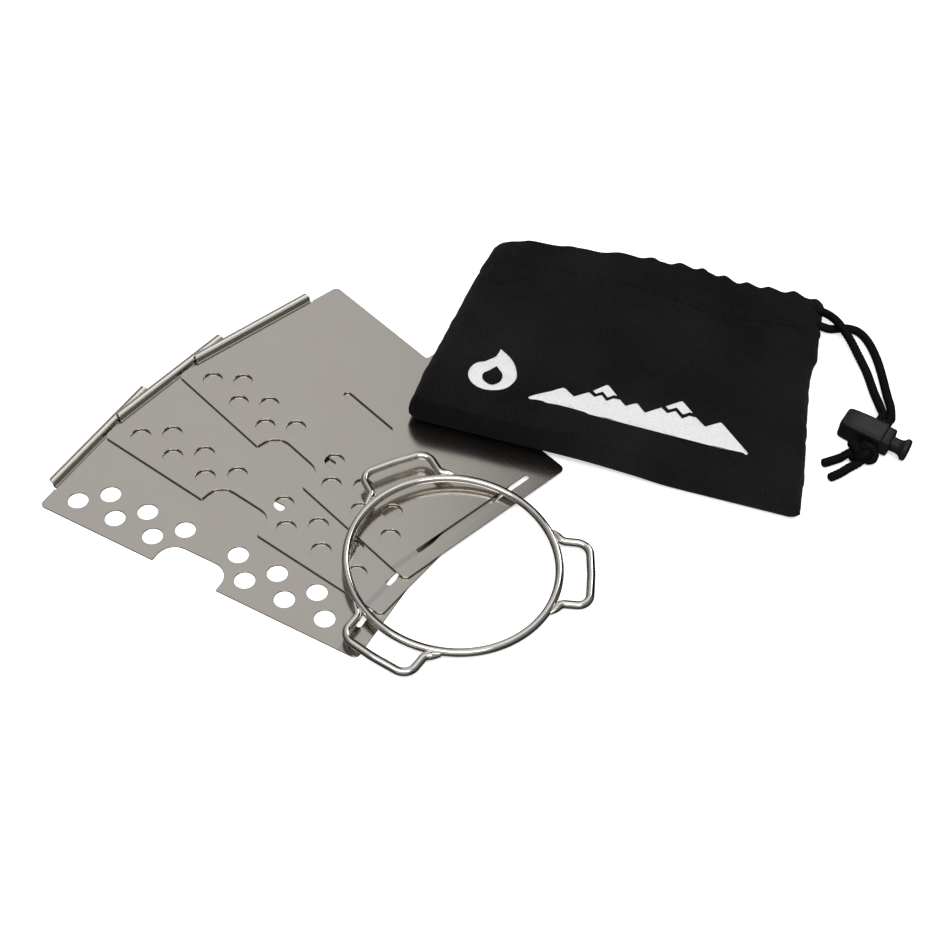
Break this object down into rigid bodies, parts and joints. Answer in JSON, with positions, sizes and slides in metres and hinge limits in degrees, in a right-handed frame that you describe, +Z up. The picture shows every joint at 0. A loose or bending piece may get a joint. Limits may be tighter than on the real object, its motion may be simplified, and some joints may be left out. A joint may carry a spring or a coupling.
{
  "type": "folding spirit burner stand",
  "caption": "Flat-packed burner stand: interlocking perforated steel plates with folded hems, a wire carrying ring with looped ears, and a drawstring sack with a cord lock.",
  "frame": {"origin": "middle of the footprint of the plates, ring and sack, on the table they lie on", "axes": "+Z up from the table, +X along the sack's longer side towards the cord lock, +Y from the plates' arched edges towards the sack's mouth"},
  "size_m": [0.3244, 0.2256, 0.014],
  "materials": {
    "sheet_steel": "fine rolled stainless sheet, warm grey, softly reflective",
    "wire_steel": "bright polished stainless wire",
    "black_cloth": "matt black twill",
    "black_cord": "braided black cord",
    "black_plastic": "moulded black plastic",
    "spring_steel": "bright spring wire"
  },
  "bodies": {
    "plate_front": {"plate_front": "sheet_steel"},
    "plate_middle": {"plate_middle": "sheet_steel"},
    "plate_rear": {"plate_rear": "sheet_steel"},
    "ring": {"ring_hoop": "wire_steel", "ring_ear_1": "wire_steel", "ring_ear_2": "wire_steel", "ring_ear_3": "wire_steel"},
    "sack": {"sack_body": "black_cloth", "sack_casing": "black_cloth", "drawcord_in_casing": "black_cord", "drawcord_strand_outer": "black_cord", "drawcord_strand_inner": "black_cord", "drawcord_knot": "black_cord", "drawcord_tail_long": "black_cord", "drawcord_tail_short": "black_cord"},
    "lock": {"lock_body": "black_plastic", "lock_spring": "spring_steel"},
    "lock_button": {"lock_plunger": "black_plastic"}
  },
  "joints": [
    {"name": "plate_middle_lift", "type": "slide", "parent": "plate_front", "child": "plate_middle", "axis": [0, 0, 1], "range_m": [0, 0.1]},
    {"name": "plate_rear_lift", "type": "slide", "parent": "plate_middle", "child": "plate_rear", "axis": [0, 0, 1], "range_m": [0, 0.1]},
    {"name": "ring_lift", "type": "slide", "parent": "plate_rear", "child": "ring", "axis": [0, 0, 1], "range_m": [0, 0.1]},
    {"name": "sack_lift", "type": "slide", "parent": "plate_rear", "child": "sack", "axis": [0, 0, 1], "range_m": [0, 0.1]},
    {"name": "lock_slide", "type": "slide", "parent": "sack", "child": "lock", "axis": [0.4848, 0.8746, 0], "range_m": [0, 0.0055]},
    {"name": "lock_press", "type": "slide", "parent": "lock", "child": "lock_button", "axis": [-0.8746, 0.4848, 0], "range_m": [0, 0.0035], "stiffness_N_per_m": 400, "springref_m": -0.002, "deforming": ["lock_spring"]}
  ]
}
